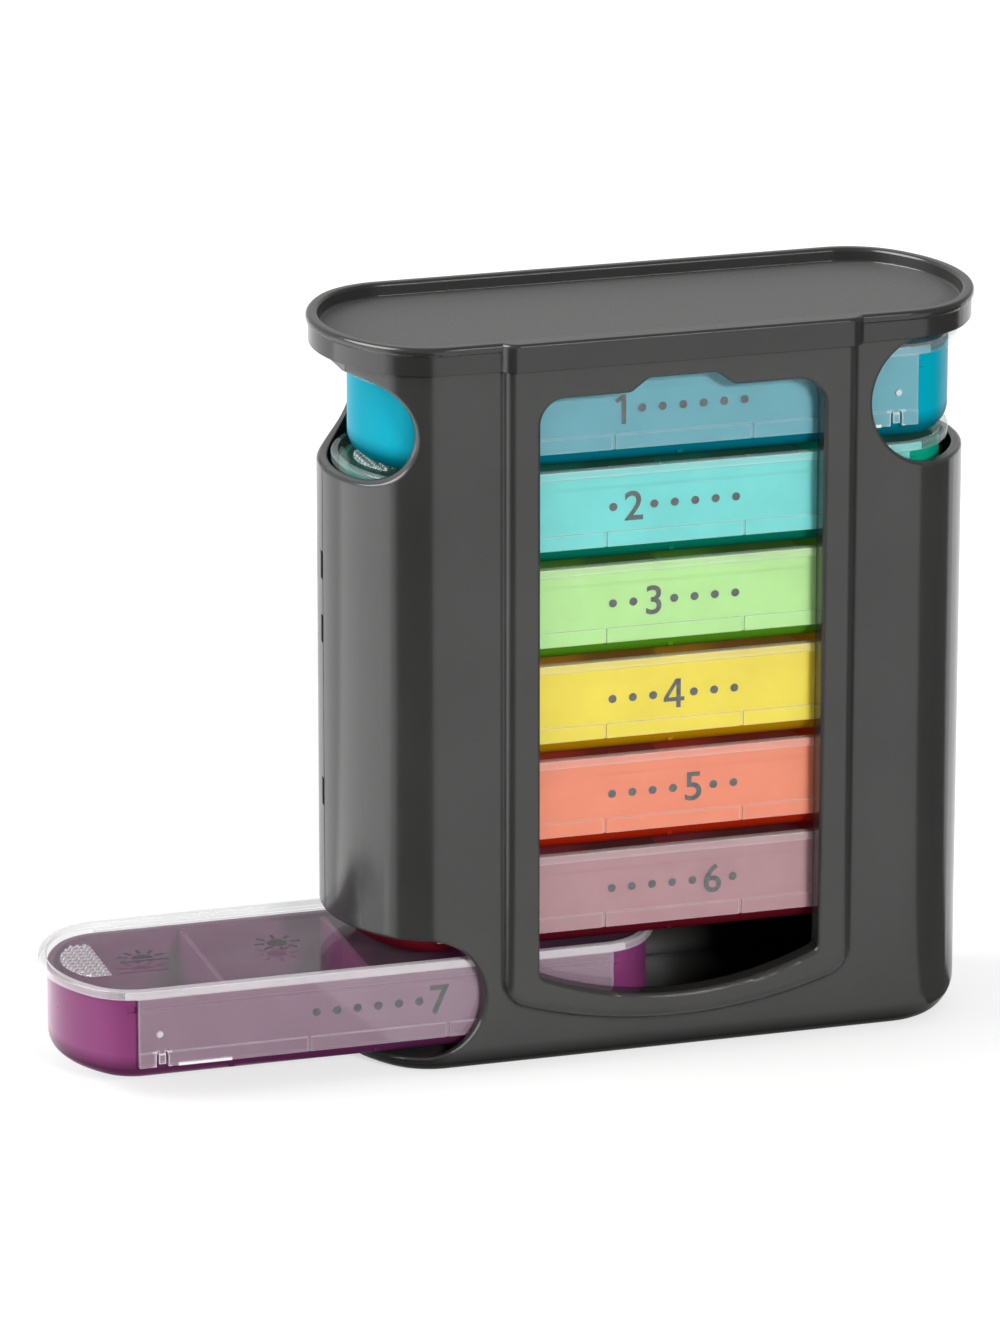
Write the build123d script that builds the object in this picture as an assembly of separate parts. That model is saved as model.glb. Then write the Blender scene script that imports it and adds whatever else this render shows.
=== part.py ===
from build123d import *
import math
import os

# Weekly pill tower: an upright housing of two half shells under a flat cap, with
# seven stacked trays of four compartments, each under its own clear sliding lid.
# Frame: +Z up, origin at the middle of the tower's foot, -Y is the window side.
# All lengths in millimetres.

# ---- plan outline of the tower (every other outline is an offset of it) ----
HALF_LEN = 70.0          # tower half length, along X
HALF_DEPTH = 26.5        # tower half depth, along Y
STRAIGHT = 50.0          # half length of the straight front and back
CORNER_R = 16.5          # arc from the straight side into the end
_k = HALF_LEN - STRAIGHT
_h = HALF_DEPTH - CORNER_R
END_R = (_k * _k + _h * _h - CORNER_R ** 2) / (2 * (_k - CORNER_R))   # arc across the end

# ---- housing ----
WALL = 2.2
FLOOR = 4.0
WALL_TOP = 155.6         # the walls end under the cap's plate
FOOT_R = 6.5             # rounding around the foot
PANEL_X = 38.6           # half width of the raised front panel
PANEL_UP = 2.4           # how far the panel stands proud
PANEL_R = 2.7            # rounding along the panel's edge
PANEL_ROOT = 0.9         # hollow where the panel meets the wall
EDGE_R = 0.7             # softened edge of the openings in the ends
PANEL_LOW = 8.7          # lowest point of the panel's curved bottom edge
PANEL_SAG = 6.9          # rise of that edge from the middle to the panel's sides
WIN_X = 31.0             # half width of the window
WIN_TOP = 147.3
WIN_LOW = 14.6
WIN_SAG = 6.5
NOTCH_X0, NOTCH_X1, NOTCH_UP = 11.3, 7.4, 2.9   # finger notch in the window's top edge
EYE_L = (-68.1, 140.1, 11.5)      # push opening, top left: x, z, radius
EYE_R = (56.6, 140.1, 14.2)       # loading mouth, top right
MOUTH_L = (-55.6, 17.2, 13.2)     # drawer mouth, bottom left
CAP_LOW = 154.0          # lower edge of the cap's band
SEAM = 0.3               # groove where the two shells meet
SNAP_Z = (107.0, 93.0, 57.0)      # snap windows beside the seam

# ---- cap ----
CAP_TOP = 160.0
CAP_OUT = 1.6            # band stands this far outside the walls
BEAD_OUT = 2.1           # rim bead
BEAD_H = 2.0
RIM_IN = -0.5            # inner edge of the rim
RECESS = 3.0
CAP_PANEL_X = 39.5       # half width of the band's raised part, at its foot
CAP_PANEL_R = 4.0        # rounding at its ends
CAP_GAP = 0.12           # band to wall

# ---- trays and lids ----
PITCH = 21.0
TRAY_Z = 4.4             # underside of the lowest tray
TRAY_OFF = -4.8
TRAY_H = 18.4
TRAY_WALL = 1.5
TRAY_FLOOR = 1.5
TRAY_FOOT_R = 4.0
PART_X = (-31.5, 0.0, 31.5)       # partitions
PART_T = 1.2
PART_H = 17.6
LID_OFF = -3.0
LID_Z = 18.7             # underside of the lid's plate above the tray's underside
LID_T = 1.2
LID_RIM_H = 0.7
LID_RIM_W = 1.6
SKIRT_X = 52.0
SKIRT_Y0, SKIRT_Y1 = 22.1, 23.1
SKIRT_Z = 3.5            # lower edge of the skirt
STRIP_TOP = 6.7          # top of the thickened strip along the skirt's lower edge
STRIP_UP = 0.3
RAIL_Z = 16.0            # bead that runs in the tray's groove
RAIL_H = 0.8
RAIL_IN = 0.75
GROOVE_H = 1.5
GROOVE_D = 0.8
REAR_Z = 15.0            # lower edge of the lid's rear rail
PAD_X0, PAD_X1, PAD_Y = -62.6, -54.4, 9.6   # thumb pad

DAYS = ("sat", "fri", "thu", "wed", "tue", "mon", "sun")
OUT_X = {"sat": -65.0, "sun": 1.7}          # where those two trays stand along X


def outline(off, dx=0.0):
    """Plan outline of the tower, offset outwards by off, as a face at z = 0."""
    rc, re = CORNER_R + off, END_R + off
    cx, cy = STRAIGHT, HALF_DEPTH - CORNER_R
    ex = HALF_LEN - END_R
    th = math.atan2(cy, cx - ex)
    yd = HALF_DEPTH + off
    tan = (ex + re * math.cos(th), re * math.sin(th))
    mid = (th + math.pi / 2) / 2
    cor = (cx + rc * math.cos(mid), cy + rc * math.sin(mid))
    end = (HALF_LEN + off, 0.0)

    def p(x, y):
        return (x + dx, y)
    edges = [
        Line(p(-cx, -yd), p(cx, -yd)),
        ThreePointArc(p(cx, -yd), p(cor[0], -cor[1]), p(tan[0], -tan[1])),
        ThreePointArc(p(tan[0], -tan[1]), p(*end), p(*tan)),
        ThreePointArc(p(*tan), p(*cor), p(cx, yd)),
        Line(p(cx, yd), p(-cx, yd)),
        ThreePointArc(p(-cx, yd), p(-cor[0], cor[1]), p(-tan[0], tan[1])),
        ThreePointArc(p(-tan[0], tan[1]), p(-end[0], 0.0), p(-tan[0], -tan[1])),
        ThreePointArc(p(-tan[0], -tan[1]), p(-cor[0], -cor[1]), p(-cx, -yd)),
    ]
    return Face(Wire(edges))


def prism(off, z0, z1, dx=0.0):
    return extrude(Pos(0, 0, z0) * outline(off, dx), amount=z1 - z0, dir=(0, 0, 1))


def block(x0, x1, y0, y1, z0, z1):
    return Pos((x0 + x1) / 2, (y0 + y1) / 2, (z0 + z1) / 2) * Box(x1 - x0, y1 - y0, z1 - z0)


def at_z(shape, z, tol=1e-3):
    return shape.edges().filter_by(lambda e: abs(e.bounding_box().min.Z - z) < tol
                                   and abs(e.bounding_box().max.Z - z) < tol)


def front_plate(face, y0, y1):
    """A face drawn in x and z, made into a plate from y0 to y1 (both in front)."""
    return extrude(Plane.XZ.offset(-y0) * face, amount=y0 - y1)


def panel_face(half, top, low, sag, corner):
    edges = [
        Line((-half, top), (-half, low + sag)),
        ThreePointArc((-half, low + sag), (0, low), (half, low + sag)),
        Line((half, low + sag), (half, top)),
        Line((half, top), (-half, top)),
    ]
    face = Face(Wire(edges))
    feet = [v for v in face.vertices() if v.Y < top - 1]
    return face.fillet_2d(corner, feet)


def window_face():
    n0, n1, up = NOTCH_X0, NOTCH_X1, WIN_TOP + NOTCH_UP
    low = WIN_LOW + WIN_SAG
    edges = [
        Line((-WIN_X, WIN_TOP), (-WIN_X, low)),
        ThreePointArc((-WIN_X, low), (0, WIN_LOW), (WIN_X, low)),
        Line((WIN_X, low), (WIN_X, WIN_TOP)),
        Line((WIN_X, WIN_TOP), (n0, WIN_TOP)),
        Line((n0, WIN_TOP), (n1, up)),
        Line((n1, up), (-n1, up)),
        Line((-n1, up), (-n0, WIN_TOP)),
        Line((-n0, WIN_TOP), (-WIN_X, WIN_TOP)),
    ]
    face = Face(Wire(edges))

    def near(x, z):
        return min(face.vertices(), key=lambda v: (abs(v.X) - x) ** 2 + (v.Y - z) ** 2)
    for x, z, r in ((WIN_X, WIN_TOP, 5.6), (WIN_X, low, 1.8), (n0, WIN_TOP, 2.2), (n1, up, 2.0)):
        pair = [v for v in face.vertices() if abs(abs(v.X) - x) < 1e-4 and abs(v.Y - z) < 1e-4]
        face = face.fillet_2d(r, pair)
    return face


def wall_offset(x, y):
    """How far a point in plan lies outside the tower's outline."""
    x, y = abs(x), abs(y)
    cy, ex = HALF_DEPTH - CORNER_R, HALF_LEN - END_R
    if x <= STRAIGHT:
        return y - HALF_DEPTH
    if (x - ex) * cy < y * (STRAIGHT - ex):
        return math.hypot(x - STRAIGHT, y - cy) - CORNER_R
    return math.hypot(x - ex, y) - END_R


def soften(body, x, z, r, level):
    """Rounds the outer edge of a round-ended opening whose straight edge lies at level."""
    rim = []
    for e in body.edges():
        p = e @ 0.5
        if abs(wall_offset(p.X, p.Y)) > 0.01:
            continue
        round_part = abs(math.hypot(p.X - x, p.Z - z) - r) < 0.01 and (p.X - x) * x < 0
        flat_part = abs(p.Z - level) < 0.01 and (p.X - x) * x > 0
        if round_part or flat_part:
            rim.append(e)
    return fillet(rim, EDGE_R)


def eye(x, z, r, z0, z1):
    """Round-ended opening through both sides, open to the near end of the tower."""
    far = 90.0 if x > 0 else -90.0
    hole = Pos(x, 0, z) * Rot(90, 0, 0) * Cylinder(r, 80)
    return hole + block(min(x, far), max(x, far), -40, 40, z0, z1)


# ---------------------------------------------------------------- housing shells
def make_housing():
    body = prism(0, 0, WALL_TOP)
    body = fillet(at_z(body, 0), FOOT_R)
    pf = panel_face(PANEL_X, WALL_TOP, PANEL_LOW, PANEL_SAG, 6.5)
    pad = front_plate(pf, -HALF_DEPTH + 1.0, -(HALF_DEPTH + PANEL_UP))
    rim = pad.faces().sort_by(Axis.Y)[0].edges().filter_by(
        lambda e: not (e.bounding_box().min.Z > WALL_TOP - 0.01))
    pad = fillet(rim, PANEL_R)
    body = body + pad
    root = body.edges().filter_by(lambda e: abs(e.bounding_box().min.Y + HALF_DEPTH) < 1e-3
                                  and abs(e.bounding_box().max.Y + HALF_DEPTH) < 1e-3
                                  and abs(e.center().X) < PANEL_X + 0.05
                                  and e.bounding_box().min.Z > PANEL_LOW - 0.05
                                  and e.bounding_box().max.X - e.bounding_box().min.X < 2 * PANEL_X + 1)
    body = fillet(root, PANEL_ROOT)
    body = body - prism(-WALL, FLOOR, WALL_TOP + 1)
    body = body - front_plate(window_face(), -HALF_DEPTH + 8.0, -(HALF_DEPTH + 4.0))
    yf = -(HALF_DEPTH + PANEL_UP)
    lips = body.edges().filter_by(lambda e: abs(e.bounding_box().min.Y - yf) < 1e-3
                                  and abs(e.bounding_box().max.Y - yf) < 1e-3
                                  and e.bounding_box().max.X < WIN_X + 0.05
                                  and e.bounding_box().min.X > -WIN_X - 0.05
                                  and e.bounding_box().min.Z > WIN_LOW - 0.05
                                  and e.bounding_box().max.Z < WIN_TOP + NOTCH_UP + 0.05)
    body = fillet(lips, 1.0)
    xl, zl, rl = EYE_L
    body = body - eye(xl, zl, rl, zl - rl, CAP_LOW)
    xr, zr, rr = EYE_R
    mouth = eye(xr, zr, rr, zr - rr, CAP_LOW) - block(0, 120, -40, 40, CAP_LOW, 170)
    body = body - mouth
    xm, zm, rm = MOUTH_L
    body = body - eye(xm, zm, rm, FLOOR, zm + rm)
    body = soften(body, xl, zl, rl, zl - rl)
    body = soften(body, xr, zr, rr, zr - rr)
    body = soften(body, xm, zm, rm, zm + rm)
    # groove along the seam and the snap windows beside it
    for s in (-1, 1):
        x0, x1 = sorted((s * (HALF_LEN - SEAM), s * (HALF_LEN + 1)))
        body = body - block(x0, x1, -SEAM / 2, SEAM / 2, -1, WALL_TOP + 1)
        x0, x1 = sorted((s * (HALF_LEN - 1.0), s * (HALF_LEN + 1)))
        for z in SNAP_Z:
            body = body - block(x0, x1, 0.0, 1.6, z - 3.0, z + 3.0)
    return body


# ---------------------------------------------------------------- cap
def make_cap():
    cap = prism(CAP_OUT, CAP_LOW, CAP_TOP)
    bead = prism(BEAD_OUT, CAP_TOP - BEAD_H, CAP_TOP)
    bead = fillet(at_z(bead, CAP_TOP) + at_z(bead, CAP_TOP - BEAD_H), 0.8)
    cap = cap - prism(CAP_OUT + 5, CAP_TOP - BEAD_H / 2, CAP_TOP + 1) + bead
    y1 = HALF_DEPTH + CAP_OUT + PANEL_UP
    half = CAP_PANEL_X + CAP_PANEL_R - math.sqrt(2 * CAP_PANEL_R * PANEL_UP - PANEL_UP ** 2)
    pad = block(-half, half, -y1, -HALF_DEPTH + 2, CAP_LOW, CAP_TOP)
    ends = pad.edges().filter_by(Axis.Z).filter_by(lambda e: e.center().Y < -HALF_DEPTH)
    pad = fillet(ends, CAP_PANEL_R)
    lip = at_z(pad, CAP_TOP).filter_by(lambda e: e.bounding_box().max.Y < -HALF_DEPTH + 0.5)
    pad = fillet(lip, 0.7)
    cap = cap + pad
    recess = prism(RIM_IN, CAP_TOP - RECESS, CAP_TOP + 1)
    recess = fillet(at_z(recess, CAP_TOP - RECESS), 0.4)
    cap = cap - recess
    inner = [e for e in at_z(cap, CAP_TOP)
             if max(abs(e.bounding_box().min.X), abs(e.bounding_box().max.X)) <= HALF_LEN + RIM_IN + 0.01
             and max(abs(e.bounding_box().min.Y), abs(e.bounding_box().max.Y)) <= HALF_DEPTH + RIM_IN + 0.01]
    cap = fillet(inner, 0.8)
    cap = cap - prism(CAP_GAP, CAP_LOW - 1, WALL_TOP)
    seat = block(-PANEL_X - CAP_GAP, PANEL_X + CAP_GAP, -(HALF_DEPTH + PANEL_UP + CAP_GAP), 0,
                 CAP_LOW - 1, WALL_TOP)
    cap = cap - fillet(seat.edges().filter_by(Axis.Z).filter_by(lambda e: e.center().Y < -1), PANEL_R + CAP_GAP)
    root = PANEL_X + PANEL_ROOT + CAP_GAP
    cap = cap - block(-root, root, -(HALF_DEPTH + PANEL_ROOT + CAP_GAP), 0, CAP_LOW - 1, WALL_TOP)
    return cap


# ---------------------------------------------------------------- one tray
def make_tray(z0, dx):
    tray = prism(TRAY_OFF, z0, z0 + TRAY_H)
    tray = fillet(at_z(tray, z0), TRAY_FOOT_R)
    hollow = prism(TRAY_OFF - TRAY_WALL, z0 + TRAY_FLOOR, z0 + TRAY_H + 1)
    hollow = fillet(at_z(hollow, z0 + TRAY_FLOOR), 2.6)
    tray = tray - hollow
    inside = prism(TRAY_OFF - 0.7, z0 + 1.0, z0 + PART_H)
    for x in PART_X:
        tray = tray + (block(x - PART_T / 2, x + PART_T / 2, -40, 40, z0 + 1.0, z0 + PART_H) & inside)
    y = HALF_DEPTH + TRAY_OFF
    zr = z0 + RAIL_Z
    for s in (-1, 1):
        y0, y1 = sorted((s * (y - GROOVE_D), s * (y + 1)))
        tray = tray - block(-58, 58, y0, y1, zr - GROOVE_H / 2, zr + GROOVE_H / 2)
    return Pos(dx, 0, 0) * tray


# ---------------------------------------------------------------- one lid
def make_lid(z0, dx):
    zp = z0 + LID_Z
    zt = zp + LID_T
    lid = prism(LID_OFF, zp, zt + LID_RIM_H)
    lid = fillet(at_z(lid, zt + LID_RIM_H), 0.5)
    lid = lid - prism(LID_OFF - LID_RIM_W, zt, zt + 5)
    # front skirt with its thickened lower strip, rear rail, and the beads that run in the tray
    skirt = block(-SKIRT_X, SKIRT_X, -SKIRT_Y1, -SKIRT_Y0, z0 + SKIRT_Z, zp + 0.6)
    strip = block(-SKIRT_X, SKIRT_X, -SKIRT_Y1 - STRIP_UP, -SKIRT_Y1 + 0.2, z0 + SKIRT_Z, z0 + STRIP_TOP)
    for x in (-15.2, 15.2):
        strip = strip - block(x - 0.35, x + 0.35, -30, -SKIRT_Y1, z0, z0 + STRIP_TOP + 1)
    lid = lid + skirt + strip
    bead = block(-SKIRT_X + 1, SKIRT_X - 1, -SKIRT_Y0 - 0.3, -SKIRT_Y0 + RAIL_IN,
                 z0 + RAIL_Z - RAIL_H / 2, z0 + RAIL_Z + RAIL_H / 2)
    rear = block(-STRAIGHT, STRAIGHT, SKIRT_Y0, SKIRT_Y1, z0 + REAR_Z, zp + 0.6)
    rbead = block(-STRAIGHT, STRAIGHT, SKIRT_Y0 - RAIL_IN, SKIRT_Y0 + 0.3,
                  z0 + RAIL_Z - RAIL_H / 2, z0 + RAIL_Z + RAIL_H / 2)
    lid = lid + bead + rear + rbead
    # at both ends of the skirt: an arched slit round the catch, a stud above it and a foot ledge
    for s in (-1, 1):
        xc = s * 47.1
        slit = block(xc - 1.3, xc + 1.3, -30, -SKIRT_Y0 + 0.1, z0, z0 + 5.8)
        slit = slit + Pos(xc, -25, z0 + 5.8) * Rot(90, 0, 0) * Cylinder(1.3, 10)
        tongue = block(xc - 0.75, xc + 0.75, -SKIRT_Y1 - STRIP_UP, -SKIRT_Y0, z0 + SKIRT_Z + 0.6, z0 + 6.2)
        root = block(xc - 0.75, xc + 0.75, -SKIRT_Y1, -SKIRT_Y0, z0 + 6.0, z0 + 7.4)
        slit = slit & block(-60, 60, -30, -SKIRT_Y0 + 0.1, z0, z0 + 9)
        slit = slit & block(xc - 2, xc + 2, -30, -21.9, z0, z0 + 9)
        lid = lid - slit
        lid = lid + tongue + root
        stud = Pos(s * 47.6, -SKIRT_Y1, z0 + 10.7) * Rot(90, 0, 0) * Cylinder(0.7, 0.7)
        lid = lid + stud
        a, b = sorted((s * 32.1, s * 43.7))
        lid = lid + block(a, b, -SKIRT_Y1 - STRIP_UP - 0.3, -SKIRT_Y1 + 0.2, z0 + SKIRT_Z, z0 + SKIRT_Z + 0.6)
    # thumb pad with cross ribs at the left end of the plate
    pad = block(PAD_X0 - 6, PAD_X1, -PAD_Y, PAD_Y, zt - 0.3, zt + 0.25)
    round_end = Pos(PAD_X0 + 13.5, 0, zt) * Cylinder(13.5, 2)
    pad = pad & round_end
    lid = lid + pad
    for i in range(5):
        x = PAD_X1 - 1.1 - 1.5 * i
        rib = block(x - 0.35, x + 0.35, -PAD_Y, PAD_Y, zt - 0.2, zt + 0.55) & round_end
        lid = lid + rib
    return Pos(dx, 0, 0) * lid


def one(shape, name):
    solids = shape.solids()
    print(name, "solids", len(solids), "volume", round(sum(s.volume for s in solids) / 1000, 3), "cm3",
          "valid", all(s.is_valid for s in solids))
    part = Compound(children=list(solids)) if len(solids) > 1 else solids[0]
    part.label = name
    export_step(part, os.path.join("parts", name + ".step"))


os.makedirs("parts", exist_ok=True)
housing = make_housing()
one(housing & block(-100, 100, -60, 0, -10, 200), "housing_front")
one(housing & block(-100, 100, 0, 60, -10, 200), "housing_rear")
one(make_cap(), "top_cap")
for i, day in enumerate(DAYS):
    z = TRAY_Z + PITCH * i
    one(make_tray(z, OUT_X.get(day, 0.0)), "tray_" + day)
    one(make_lid(z, OUT_X.get(day, 0.0)), "lid_" + day)
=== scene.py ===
import math
import bmesh
import bpy
from mathutils import Matrix, Vector


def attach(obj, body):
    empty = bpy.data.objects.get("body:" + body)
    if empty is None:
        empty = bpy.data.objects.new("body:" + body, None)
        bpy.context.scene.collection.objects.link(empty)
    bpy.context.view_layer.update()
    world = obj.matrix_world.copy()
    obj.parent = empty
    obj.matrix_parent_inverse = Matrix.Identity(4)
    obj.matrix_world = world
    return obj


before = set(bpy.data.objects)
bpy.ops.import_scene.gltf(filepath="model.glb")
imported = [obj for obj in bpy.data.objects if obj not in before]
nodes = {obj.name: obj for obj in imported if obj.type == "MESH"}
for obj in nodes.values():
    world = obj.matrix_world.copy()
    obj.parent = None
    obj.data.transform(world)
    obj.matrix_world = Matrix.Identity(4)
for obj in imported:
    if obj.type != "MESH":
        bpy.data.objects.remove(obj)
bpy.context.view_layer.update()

# Weekly pill tower: graphite housing, seven coloured trays, clear lids.
# Metres, +Z up, the window side looks towards -Y.
scene = bpy.context.scene
MM = 0.001

DAYS = ("sun", "mon", "tue", "wed", "thu", "fri", "sat")
LID_BODY = {"sun": "sunday_lid", "mon": "monday", "tue": "tuesday", "wed": "wednesday",
            "thu": "thursday", "fri": "friday", "sat": "saturday_lid"}

# ------------------------------------------------------------------ camera
cam = bpy.data.cameras.new("camera")
cam.sensor_fit = "AUTO"
cam.sensor_width = 36.0
cam.lens = 36.0 * 8000.0 / 1333.0
cam.clip_start = 0.05
cam.clip_end = 20.0
cam_o = bpy.data.objects.new("camera", cam)
scene.collection.objects.link(cam_o)
eye = Vector((-504.45, -1547.44, 589.66)) * MM
aim = Vector((-31.15, 0.0, 81.23)) * MM
cam_o.location = eye
cam_o.rotation_euler = (aim - eye).to_track_quat("-Z", "Y").to_euler()
scene.camera = cam_o

scene.view_settings.view_transform = "Standard"
scene.view_settings.look = "None"


# --------------------------------------------------------------- materials
class Tree:
    """A material's node tree, with short calls to add nodes and links."""

    def __init__(self, name):
        self.mat = bpy.data.materials.new(name)
        self.mat.use_nodes = True
        self.t = self.mat.node_tree
        self.t.nodes.clear()
        self.out = self.t.nodes.new("ShaderNodeOutputMaterial")
        self.b = self.t.nodes.new("ShaderNodeBsdfPrincipled")
        self.link(self.b.outputs["BSDF"], self.out.inputs["Surface"])
        self.pos = self.t.nodes.new("ShaderNodeTexCoord").outputs["Object"]

    def link(self, a, b):
        self.t.links.new(a, b)

    def noise(self, scale, detail=3.0, rough=0.5, stretch=None):
        n = self.t.nodes.new("ShaderNodeTexNoise")
        n.inputs["Scale"].default_value = scale
        n.inputs["Detail"].default_value = detail
        n.inputs["Roughness"].default_value = rough
        src = self.pos
        if stretch:
            m = self.t.nodes.new("ShaderNodeMapping")
            m.inputs["Scale"].default_value = stretch
            self.link(src, m.inputs["Vector"])
            src = m.outputs["Vector"]
        self.link(src, n.inputs["Vector"])
        return n.outputs["Fac"]

    def ramp(self, fac, stops):
        r = self.t.nodes.new("ShaderNodeValToRGB")
        e = r.color_ramp.elements
        while len(e) < len(stops):
            e.new(0.5)
        for k, (p, c) in enumerate(stops):
            e[k].position = p
            e[k].color = (*c, 1.0) if len(c) == 3 else c
        self.link(fac, r.inputs["Fac"])
        return r.outputs["Color"]

    def span(self, fac, lo, hi, a=0.25, b=0.75):
        m = self.t.nodes.new("ShaderNodeMapRange")
        m.inputs["From Min"].default_value = a
        m.inputs["From Max"].default_value = b
        m.inputs["To Min"].default_value = lo
        m.inputs["To Max"].default_value = hi
        self.link(fac, m.inputs["Value"])
        return m.outputs["Result"]

    def math(self, op, a, b=None):
        m = self.t.nodes.new("ShaderNodeMath")
        m.operation = op
        for k, v in enumerate((a, b)):
            if v is None:
                continue
            if isinstance(v, (int, float)):
                m.inputs[k].default_value = v
            else:
                self.link(v, m.inputs[k])
        return m.outputs[0]

    def mix(self, fac, a, b, colour=False):
        m = self.t.nodes.new("ShaderNodeMix")
        m.data_type = "RGBA" if colour else "FLOAT"
        ins = [s for s in m.inputs if s.enabled]
        outs = [s for s in m.outputs if s.enabled]
        for s, v in zip(ins, (fac, a, b)):
            if isinstance(v, (int, float)):
                s.default_value = v
            elif isinstance(v, tuple):
                s.default_value = (*v, 1.0)
            else:
                self.link(v, s)
        return outs[0]

    def edge(self, radius, samples=4):
        n = self.t.nodes.new("ShaderNodeBevel")
        n.samples = samples
        n.inputs["Radius"].default_value = radius
        return n.outputs["Normal"]

    def edge_mask(self, normal, near=0.97, far=0.80):
        g = self.t.nodes.new("ShaderNodeNewGeometry")
        d = self.t.nodes.new("ShaderNodeVectorMath")
        d.operation = "DOT_PRODUCT"
        self.link(normal, d.inputs[0])
        self.link(g.outputs["Normal"], d.inputs[1])
        return self.span(d.outputs["Value"], 0.0, 1.0, near, far)

    def bump(self, height, strength, distance, normal=None):
        n = self.t.nodes.new("ShaderNodeBump")
        n.inputs["Strength"].default_value = strength
        n.inputs["Distance"].default_value = distance
        self.link(height, n.inputs["Height"])
        if normal is not None:
            self.link(normal, n.inputs["Normal"])
        self.link(n.outputs["Normal"], self.b.inputs["Normal"])


def moulded(name, colour, rough=(0.13, 0.20), vary=0.10, bevel=0.00035, grain=0.05,
            grain_scale=1500.0, shine=0.5, foot=None, shade_at_foot=0.4, painted_glow=0.0, matte=None):
    """Glossy moulded plastic: slow colour drift, patchy gloss, fine skin, soft edges.
    With a foot level, shade is painted towards the foot: the colour darkens and the gloss fades there, a painted
    contact shadow.
    A painted glow, emission in the surface's own colour, stands in for the little light that comes through thin
    coloured walls.
    matte gives two levels between which a face that looks up has a fine dull grain."""
    t = Tree(name)
    lo = tuple(max(0.0, c * (1 - vary)) for c in colour)
    hi = tuple(min(1.0, c * (1 + vary)) for c in colour)
    col = t.ramp(t.noise(38.0, 4.0), [(0.3, lo), (0.7, hi)])
    # painted shade near the foot: darker colour and weaker gloss on faces that don't look up
    if foot is not None:
        sep = t.t.nodes.new("ShaderNodeSeparateXYZ")
        t.link(t.pos, sep.inputs["Vector"])
        foot_shade_mask = t.span(sep.outputs["Z"], 1.0, 0.0, foot + 0.0025, foot + 0.0058)
        nrm = t.t.nodes.new("ShaderNodeSeparateXYZ")
        t.link(t.t.nodes.new("ShaderNodeNewGeometry").outputs["True Normal"], nrm.inputs["Vector"])
        foot_shade_mask = t.math("MULTIPLY", foot_shade_mask, t.math("LESS_THAN", nrm.outputs["Z"], 0.6))
        col = t.mix(foot_shade_mask, col, tuple(c * shade_at_foot for c in colour), True)
        t.link(t.mix(foot_shade_mask, shine, shine * 0.06), t.b.inputs["Specular IOR Level"])
    sheen = t.span(t.noise(85.0, 5.0, 0.6), *rough)
    if matte is not None:
        at = t.t.nodes.new("ShaderNodeSeparateXYZ")
        t.link(t.pos, at.inputs["Vector"])
        way = t.t.nodes.new("ShaderNodeSeparateXYZ")
        t.link(t.t.nodes.new("ShaderNodeNewGeometry").outputs["True Normal"], way.inputs["Vector"])
        dull = t.math("MULTIPLY", t.math("GREATER_THAN", at.outputs["Z"], matte[0]),
                      t.math("LESS_THAN", at.outputs["Z"], matte[1]))
        dull = t.math("MULTIPLY", dull, t.math("GREATER_THAN", way.outputs["Z"], 0.9))
        sheen = t.mix(dull, sheen, t.span(t.noise(2600.0, 3.0), 0.44, 0.58))
        col = t.mix(dull, col, t.ramp(t.noise(2200.0, 3.0), [(0.3, (0.066, 0.066, 0.065)), (0.7, (0.076, 0.076, 0.075))]), True)
    t.link(col, t.b.inputs["Base Color"])
    t.link(sheen, t.b.inputs["Roughness"])
    t.b.inputs["Specular IOR Level"].default_value = shine
    # painted glow: emission in the surface's own colour
    if painted_glow:
        t.link(col, t.b.inputs["Emission Color"])
        t.b.inputs["Emission Strength"].default_value = painted_glow
    t.bump(t.noise(grain_scale, 2.0), grain, 0.00002, t.edge(bevel))
    return t.mat


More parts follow.
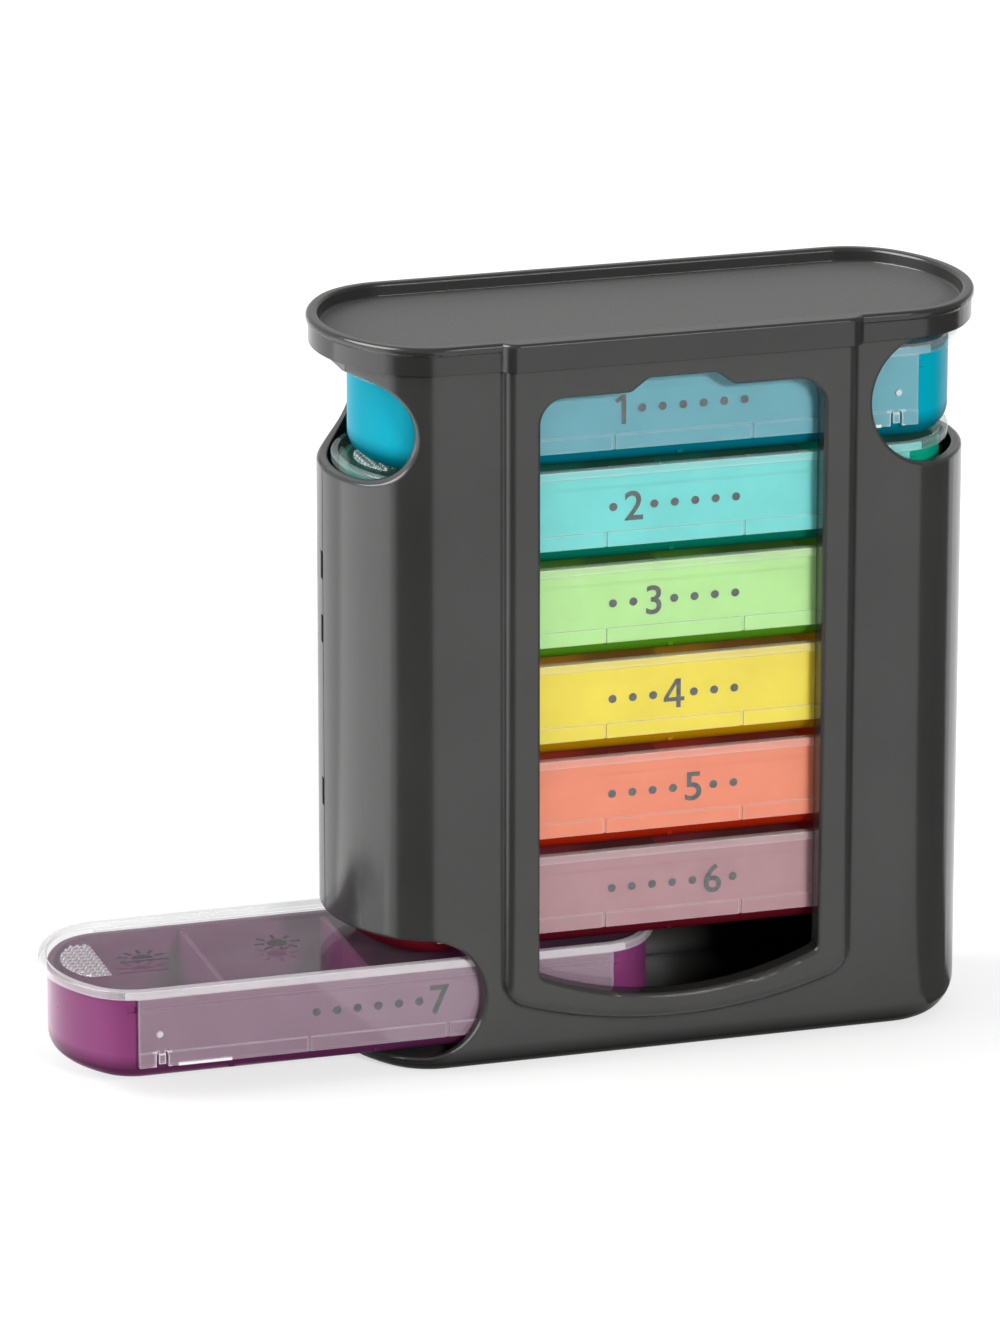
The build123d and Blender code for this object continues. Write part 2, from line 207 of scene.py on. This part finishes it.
def clear_lid(name, tint, x0, z0, edge=0.14, rim_glint=0.28):
    """Clear lid: a glossy see-through plate, a frosted front skirt, rims, edges and small catches painted pale or
    white as painted highlights, and a hatched pad.
    x0 and z0 are the lid's middle and the underside of its tray, in the lid's own frame."""
    t = Tree(name)
    soft = t.edge(0.0004)
    sep = t.t.nodes.new("ShaderNodeSeparateXYZ")
    t.link(t.pos, sep.inputs["Vector"])
    x = t.math("SUBTRACT", sep.outputs["X"], x0)
    y = sep.outputs["Y"]
    up = t.math("SUBTRACT", sep.outputs["Z"], z0)
    ax = t.math("ABSOLUTE", x)
    geo = t.t.nodes.new("ShaderNodeNewGeometry")
    nrm = t.t.nodes.new("ShaderNodeSeparateXYZ")
    t.link(geo.outputs["True Normal"], nrm.inputs["Vector"])
    upright = t.math("LESS_THAN", t.math("ABSOLUTE", nrm.outputs["Z"]), 0.6)

    def both(*m):
        out = m[0]
        for k in m[1:]:
            out = t.math("MULTIPLY", out, k)
        return out

    def above(v, lim):
        return t.math("GREATER_THAN", v, lim)

    def below(v, lim):
        return t.math("LESS_THAN", v, lim)
    high = above(up, 0.0186)
    skirt = both(below(y, -0.02195), below(up, 0.0187))
    proud = above(up, 0.01995)
    pad = both(proud, above(x, -0.0631), below(x, -0.0535), below(t.math("ABSOLUTE", y), 0.0101))
    front = both(high, upright, below(y, -0.0226))
    inner = t.math("SUBTRACT", 1.0, front)
    wall = both(high, upright, inner)
    proud = both(proud, inner)
    ledge = both(below(y, -0.02345), below(up, 0.0043))
    catch = both(above(ax, 0.0450), below(ax, 0.0492), below(up, 0.0079))
    stud = both(below(y, -0.0233), above(up, 0.0090), below(up, 0.0140))
    end = above(ax, 0.05175)
    tips = t.math("MAXIMUM", t.math("MAXIMUM", ledge, stud), both(skirt, end))
    # painted highlight: a mask along the lid's rounded edges, from the bevel normal
    line = t.edge_mask(t.edge(0.0006))
    # colours, with painted highlights on rims, rounded edges, the ledge, the catch and the stud
    white = t.ramp(t.noise(150.0, 3.0), [(0.3, (0.84, 0.85, 0.85)), (0.7, (0.93, 0.94, 0.94))])
    pale = t.ramp(t.noise(60.0, 3.0), [(0.3, (0.72, 0.73, 0.73)), (0.7, (0.80, 0.81, 0.81))])
    lo = tuple(c * 0.96 for c in tint)
    hi = tuple(min(1.0, c * 1.04) for c in tint)
    frost = t.ramp(t.noise(90.0, 3.0), [(0.3, lo), (0.7, hi)])
    # paler copies of the tint, painted on rounded edges, rim walls and the stud as highlights
    lit = tuple(min(1.0, 0.60 * c + 0.32) for c in tint)
    pale_glint_tint = tuple(min(1.0, 0.35 * c + 0.50) for c in tint)
    col = t.mix(skirt, pale, frost, True)
    # the plate's front rim painted partly white, a painted highlight
    col = t.mix(front, col, t.mix(rim_glint, frost, white, True), True)
    col = t.mix(line, col, t.mix(t.math("MAXIMUM", skirt, front), pale_glint_tint, lit, True), True)
    # rim walls, rim top and the stud painted in the pale copy, as highlights
    col = t.mix(t.math("MAXIMUM", wall, proud), col, pale_glint_tint, True)
    # the foot ledge and the catch's rounded edges painted white as highlights
    painted_glints = t.math("MAXIMUM", ledge, t.math("MULTIPLY", catch, line))
    col = t.mix(stud, col, pale_glint_tint, True)
    t.link(t.mix(painted_glints, col, white, True), t.b.inputs["Base Color"])
    gloss = t.span(t.noise(120.0, 4.0), 0.05, 0.10)
    t.link(gloss, t.b.inputs["Roughness"])
    t.bump(t.noise(300.0, 2.0), 0.004, 0.00003, soft)
    # how much each place hides what lies behind it
    haze = t.span(t.noise(140.0, 3.0), 0.010, 0.030)
    veil = t.span(t.noise(110.0, 3.0), 0.58, 0.62)
    cover = t.mix(t.math("MAXIMUM", skirt, front), haze, veil)
    # rims, rounded edges, the ledge, the stud, the skirt's ends and the catch hide more of what lies behind them,
    # so that their painted highlights show; less towards the back
    rear = t.span(y, 1.0, 0.45, 0.006, 0.020)
    cover = t.math("MAXIMUM", cover, both(line, rear, t.mix(skirt, rim_glint + 0.08, 0.62)))
    cover = t.math("MAXIMUM", cover, both(wall, rear, edge))
    cover = t.math("MAXIMUM", cover, both(proud, rear, edge + 0.06))
    cover = t.math("MAXIMUM", cover, t.math("MULTIPLY", tips, 0.62))
    cover = t.math("MAXIMUM", cover, t.math("MULTIPLY", both(catch, line), 0.8))
    k = math.pi / 0.0012
    a = t.math("SINE", t.math("MULTIPLY", t.math("ADD", x, t.math("MULTIPLY", y, 0.6)), k))
    b = t.math("SINE", t.math("MULTIPLY", t.math("SUBTRACT", x, t.math("MULTIPLY", y, 0.6)), k))
    hatch = t.math("MULTIPLY", t.math("ABSOLUTE", a), t.math("ABSOLUTE", b))
    cover = t.mix(pad, cover, t.span(hatch, 0.30, 0.66, 0.1, 0.7))
    # what is not haze or frost lets everything through, less its mirror share
    face = t.t.nodes.new("ShaderNodeLayerWeight")
    face.inputs["Blend"].default_value = 0.5
    mirror = t.math("ADD", t.math("MULTIPLY", t.math("POWER", face.outputs["Facing"], 5.0), 0.60), 0.025)
    glass = t.t.nodes.new("ShaderNodeBsdfTransparent")
    glass.inputs["Color"].default_value = (0.955, 0.960, 0.960, 1.0)
    shine = t.t.nodes.new("ShaderNodeBsdfGlossy")
    t.link(gloss, shine.inputs["Roughness"])
    t.link(soft, shine.inputs["Normal"])
    pane = t.t.nodes.new("ShaderNodeMixShader")
    t.link(mirror, pane.inputs[0])
    t.link(glass.outputs[0], pane.inputs[1])
    t.link(shine.outputs[0], pane.inputs[2])
    whole = t.t.nodes.new("ShaderNodeMixShader")
    t.link(cover, whole.inputs[0])
    t.link(pane.outputs[0], whole.inputs[1])
    t.link(t.b.outputs["BSDF"], whole.inputs[2])
    t.link(whole.outputs[0], t.out.inputs["Surface"])
    return t.mat


def printed(name, lo, hi):
    t = Tree(name)
    t.link(t.ramp(t.noise(700.0, 4.0), [(0.35, lo), (0.65, hi)]), t.b.inputs["Base Color"])
    t.link(t.span(t.noise(900.0, 3.0), 0.45, 0.6), t.b.inputs["Roughness"])
    return t.mat


def srgb(*c):
    return tuple((v / 255 / 12.92) if v <= 10 else ((v / 255 + 0.055) / 1.055) ** 2.4 for v in c)


# housing: painted shade, darker and less glossy towards the table
HOUSING = moulded("graphite_gloss", (0.0206, 0.0208, 0.0199), bevel=0.0007, foot=0.0, shade_at_foot=0.35)
CAP = moulded("graphite_cap", (0.0150, 0.0151, 0.0147), rough=(0.14, 0.20), grain=0.06,
              matte=(0.1560, 0.1578))
TRAY_RGB = {"sun": (0, 125, 144), "mon": (6, 127, 101), "tue": (89, 150, 29), "wed": (191, 138, 5),
            "thu": (176, 38, 12), "fri": (129, 27, 43), "sat": (97, 41, 81)}
SKIRT_RGB = {"sun": (95, 152, 163), "mon": (109, 198, 195), "tue": (168, 212, 140), "wed": (216, 201, 72),
             "thu": (215, 130, 102), "fri": (161, 126, 131), "sat": (136, 115, 128)}


def low_point(name):
    return min(v.co.z for v in nodes[name].data.vertices)


# trays: painted shade towards each tray's foot, and a faint painted glow in the tray's colour
TRAY = {d: moulded("tray_" + d, srgb(*TRAY_RGB[d]), rough=(0.26, 0.36), vary=0.04,
                   grain=0.02, shine=0.15 if d == "sat" else 0.03, foot=low_point("tray_" + d),
                   shade_at_foot=0.22 if d == "fri" else 0.4, painted_glow=0.14) for d in DAYS}
INK = printed("print_grey", (0.060, 0.066, 0.066), (0.085, 0.092, 0.092))
INK_DARK = printed("print_dark", (0.020, 0.021, 0.022), (0.040, 0.042, 0.044))


def lid_material(d):
    v = [p.co for p in nodes["lid_" + d].data.vertices]
    x0 = (min(p.x for p in v) + max(p.x for p in v)) / 2
    # the last two values set how strongly rim walls and the front rim are painted pale as highlights
    return clear_lid("lid_" + d, srgb(*SKIRT_RGB[d]), x0, min(p.z for p in v) - 0.0035,
                     *((0.30, 0.50) if d == "sat" else (0.10, 0.12)))


LID = {d: lid_material(d) for d in DAYS}


def finish_node(name, mat):
    o = nodes[name]
    o.data.materials.clear()
    o.data.materials.append(mat)


finish_node("housing_front", HOUSING)
finish_node("housing_rear", HOUSING)
finish_node("top_cap", CAP)
for d in DAYS:
    finish_node("tray_" + d, TRAY[d])
    finish_node("lid_" + d, LID[d])


# ----------------------------------------------------------------- prints
FILM = 0.00002           # thickness of the print


def flat_piece(name, loops, place, body, ink):
    """Thin print from closed outlines: each loop is a list of points in the print's plane."""
    bm = bmesh.new()
    for pts in loops:
        low = [bm.verts.new((x, y, 0.0)) for x, y in pts]
        top = [bm.verts.new((x, y, FILM)) for x, y in pts]
        n = len(pts)
        bm.faces.new(top)
        bm.faces.new(low[::-1])
        for k in range(n):
            bm.faces.new((low[k], low[(k + 1) % n], top[(k + 1) % n], top[k]))
    me = bpy.data.meshes.new(name)
    bm.to_mesh(me)
    bm.free()
    me.transform(place)
    me.materials.append(ink)
    o = bpy.data.objects.new(name, me)
    scene.collection.objects.link(o)
    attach(o, body)
    return o


def disc(x, y, r, n=28, a0=0.0, a1=2 * math.pi):
    whole = abs(a1 - a0 - 2 * math.pi) < 1e-6
    m = n if whole else n + 1
    return [(x + r * math.cos(a0 + (a1 - a0) * k / n), y + r * math.sin(a0 + (a1 - a0) * k / n)) for k in range(m)]


def bar(x0, y0, x1, y1, w):
    a = math.atan2(y1 - y0, x1 - x0)
    tip = disc(x1, y1, w / 2, 8, a - math.pi / 2, a + math.pi / 2)
    heel = disc(x0, y0, w / 2, 8, a + math.pi / 2, a + 3 * math.pi / 2)
    return tip + heel


def rays(x, y, r0, r1, a0, a1, n, w):
    out = []
    for k in range(n):
        a = a0 + (a1 - a0) * k / max(1, n - 1)
        out.append(bar(x + r0 * math.cos(a), y + r0 * math.sin(a), x + r1 * math.cos(a), y + r1 * math.sin(a), w))
    return out


def icon(kind):
    """Plain signs for the times of the day, about 10 mm across, in millimetres."""
    w = 0.8
    if kind == 0:      # morning: half disc on a line, rays up
        return [disc(0, -1.4, 2.4, 24, 0, math.pi)] + rays(0, -1.4, 3.5, 5.2, math.radians(22), math.radians(158), 5, w) \
            + [bar(-5.0, -2.7, 5.0, -2.7, w)]
    if kind == 1:      # noon: whole disc with rays all round
        return [disc(0, 0, 2.2)] + rays(0, 0, 3.2, 4.7, 0, math.radians(315), 8, w)
    if kind == 2:      # evening: half disc under a line
        return [disc(0, 0.6, 2.4, 24, math.pi, 2 * math.pi), bar(-5.0, 1.6, 5.0, 1.6, w)] \
            + rays(0, 0.6, 3.5, 4.8, math.radians(205), math.radians(335), 4, w)
    outer = disc(0, 0, 4.0, 36, math.radians(50), math.radians(310))
    inner = disc(2.14, 0, 3.09, 30, math.radians(277.6), math.radians(82.4))
    return [outer + inner]


def digit_mesh(text, height):
    c = bpy.data.curves.new("digit", "FONT")
    c.body = text
    c.size = 1.0
    c.offset = 0.012
    c.extrude = 0.002
    c.resolution_u = 5
    o = bpy.data.objects.new("digit", c)
    scene.collection.objects.link(o)
    me = bpy.data.meshes.new_from_object(o.evaluated_get(bpy.context.evaluated_depsgraph_get()))
    bpy.data.objects.remove(o)
    bpy.data.curves.remove(c)
    xs = [v.co.x for v in me.vertices]
    ys = [v.co.y for v in me.vertices]
    s = height / (max(ys) - min(ys))
    cx, cy = (max(xs) + min(xs)) / 2, (max(ys) + min(ys)) / 2
    me.transform(Matrix.Diagonal((s, s, FILM / 0.004, 1.0)) @ Matrix.Translation((-cx, -cy, 0.002)))
    return me


def four_mesh():
    """The number 4 with its open triangle, 6.4 mm tall, as one thin solid."""
    pts = ((0.6, -3.2), (1.6, -3.2), (1.6, -1.75), (2.4, -1.75), (2.4, -0.85), (1.6, -0.85), (1.6, 3.2),
           (0.45, 3.2), (-2.2, -0.95), (-2.2, -1.75), (0.6, -1.75), (0.6, -0.85), (-1.15, -0.85), (0.6, 1.95))
    faces = ((0, 1, 2, 10), (10, 2, 5, 11), (2, 3, 4, 5), (11, 5, 6, 13), (13, 6, 7), (7, 8, 12, 13), (8, 9, 10, 11, 12))
    bm = bmesh.new()
    v = [bm.verts.new((x * MM, y * MM, 0.0)) for x, y in pts]
    low = [bm.faces.new([v[k] for k in f]) for f in faces]
    got = bmesh.ops.extrude_face_region(bm, geom=low, use_keep_orig=True)
    bmesh.ops.translate(bm, vec=(0, 0, FILM), verts=[g for g in got["geom"] if isinstance(g, bmesh.types.BMVert)])
    bmesh.ops.recalc_face_normals(bm, faces=bm.faces)
    me = bpy.data.meshes.new("four")
    bm.to_mesh(me)
    bm.free()
    return me


TRAY_Z, PITCH = 0.0044, 0.021
SKIRT_FACE = -0.0231
STEP = 0.0045            # from one mark of the week to the next
OUT = {"sat": -0.065, "sun": 0.0017}          # where those two trays stand along X
FRONT = Matrix(((1, 0, 0, 0), (0, 0, -1, 0), (0, 1, 0, 0), (0, 0, 0, 1)))   # print's plane to the skirt's face
for i, d in enumerate(DAYS):
    z0 = TRAY_Z + PITCH * (6 - i)
    dx = OUT.get(d, 0.0)
    # a week of dots with the day's number in its place
    here = Matrix.Translation((dx, SKIRT_FACE - 0.000003, z0 + 0.0120)) @ FRONT
    loops = [disc((k - 3) * STEP, 0.0, 0.00090) for k in range(7) if k != i]
    flat_piece("week_dots_" + d, loops, here, LID_BODY[d], INK)
    mark = here @ Matrix.Translation(((i - 3) * STEP, 0, 0))
    if i == 0:
        one = (0.0, -3.2), (1.0, -3.2), (1.0, 3.2), (0.15, 3.2), (-1.45, 2.15), (-1.05, 1.4), (0.0, 2.0)
        flat_piece("day_number_" + d, [[(px * MM, py * MM) for px, py in one]], mark, LID_BODY[d], INK)
    else:
        me = four_mesh() if i == 3 else digit_mesh(str(i + 1), 0.0064)
        me.transform(mark)
        me.materials.clear()
        me.materials.append(INK)
        o = bpy.data.objects.new("day_number_" + d, me)
        scene.collection.objects.link(o)
        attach(o, LID_BODY[d])
    # signs for the four times of the day, on the plate over each compartment
    loops = []
    for k, x in enumerate((-45.5, -15.75, 15.75, 45.5)):
        loops += [[((x + px) * MM, py * MM) for px, py in loop] for loop in icon(k)]
    flat_piece("time_signs_" + d, loops, Matrix.Translation((dx, 0, z0 + 0.0199 + 0.000003)), LID_BODY[d], INK_DARK)


# ------------------------------------------------------------------ stage
def stage_floor(name, z, lo, hi, glow):
    me = bpy.data.meshes.new(name)
    s = 6.0
    me.from_pydata([(-s, -s, z), (s, -s, z), (s, s, z), (-s, s, z)], [], [(0, 1, 2, 3)])
    o = bpy.data.objects.new(name, me)
    scene.collection.objects.link(o)
    t = Tree(name + "_pale")
    t.link(t.ramp(t.noise(3.0, 3.0), [(0.3, (lo, lo, lo)), (0.7, (hi, hi, hi))]), t.b.inputs["Base Color"])
    t.b.inputs["Roughness"].default_value = 0.7
    t.b.inputs["Specular IOR Level"].default_value = 0.2
    t.b.inputs["Emission Color"].default_value = (1.0, 1.0, 1.0, 1.0)
    t.b.inputs["Emission Strength"].default_value = glow
    me.materials.append(t.mat)
    return o


# the pale table as seen, lit a little from below so that shadows on it stay faint
table = stage_floor("floor", 0.0, 0.37, 0.39, 0.62)
table.visible_diffuse = table.visible_glossy = table.visible_transmission = table.visible_shadow = False
# the same table as it lights the object
bounce = stage_floor("floor_bounce", -0.0003, 0.84, 0.86, 0.0)
bounce.visible_camera = bounce.visible_shadow = False


def reflector(name, apex, az0, az1, r0, r1, level, z=-0.0002):
    """A fan just under the seen floor that shows only in reflections: a dark flag or a lit card."""
    n = 24
    pts = []
    for r, order in ((r0, range(n + 1)), (r1, range(n, -1, -1))):
        for k in order:
            a = math.radians(az0 + (az1 - az0) * k / n)
            pts.append((apex[0] - r * math.sin(a), apex[1] - r * math.cos(a), z))
    me = bpy.data.meshes.new(name)
    me.from_pydata(pts, [], [list(range(len(pts)))])
    o = bpy.data.objects.new(name, me)
    scene.collection.objects.link(o)
    m = bpy.data.materials.new(name)
    m.use_nodes = True
    t = m.node_tree
    t.nodes.clear()
    out = t.nodes.new("ShaderNodeOutputMaterial")
    e = t.nodes.new("ShaderNodeEmission")
    e.inputs["Color"].default_value = (1, 1, 1, 1)
    e.inputs["Strength"].default_value = level
    t.links.new(e.outputs[0], out.inputs["Surface"])
    me.materials.append(m)
    o.visible_camera = o.visible_diffuse = o.visible_transmission = False
    o.visible_shadow = o.visible_volume_scatter = False
    return o


reflector("flag_left", (-0.050, -0.010), 9, 62, 0.018, 1.5, 0.02)
reflector("flag_right", (0.050, -0.010), -105, -43, 0.018, 1.5, 0.10).visible_diffuse = True
reflector("card_left", (-0.0375, 0.0), 70, 128, 0.034, 1.5, 2.5)


world = bpy.data.worlds.new("studio")
scene.world = world
world.use_nodes = True
wt = world.node_tree
bg = wt.nodes["Background"]
bg.inputs["Color"].default_value = (1.0, 1.0, 1.0, 1.0)
# brighter towards the left and the back of the studio than towards the right and the front
way = wt.nodes.new("ShaderNodeVectorMath")
way.operation = "DOT_PRODUCT"
wt.links.new(wt.nodes.new("ShaderNodeTexCoord").outputs["Generated"], way.inputs[0])
way.inputs[1].default_value = (-0.25, 0.20, 0.0)
level = wt.nodes.new("ShaderNodeMath")
level.inputs[1].default_value = 0.55
wt.links.new(way.outputs["Value"], level.inputs[0])
wt.links.new(level.outputs[0], bg.inputs["Strength"])


def lamp(name, az, el, angle, energy):
    """Soft far light: az to the left of the window's side, el above the table, in degrees."""
    l = bpy.data.lights.new(name, "SUN")
    l.energy = energy
    l.angle = math.radians(angle)
    o = bpy.data.objects.new(name, l)
    scene.collection.objects.link(o)
    a, e = math.radians(az), math.radians(el)
    o.rotation_euler = Vector((math.sin(a) * math.cos(e), math.cos(a) * math.cos(e), -math.sin(e))).to_track_quat("-Z", "Y").to_euler()
    return o


lamp("key", -11, 20, 10, 3.5).visible_glossy = False
lamp("glint", -16, 20, 12, 0.42).visible_diffuse = False
lamp("side", 105, 22, 40, 4.0).visible_glossy = False
lamp("glint_side", 95, 38, 50, 5.5).visible_diffuse = False
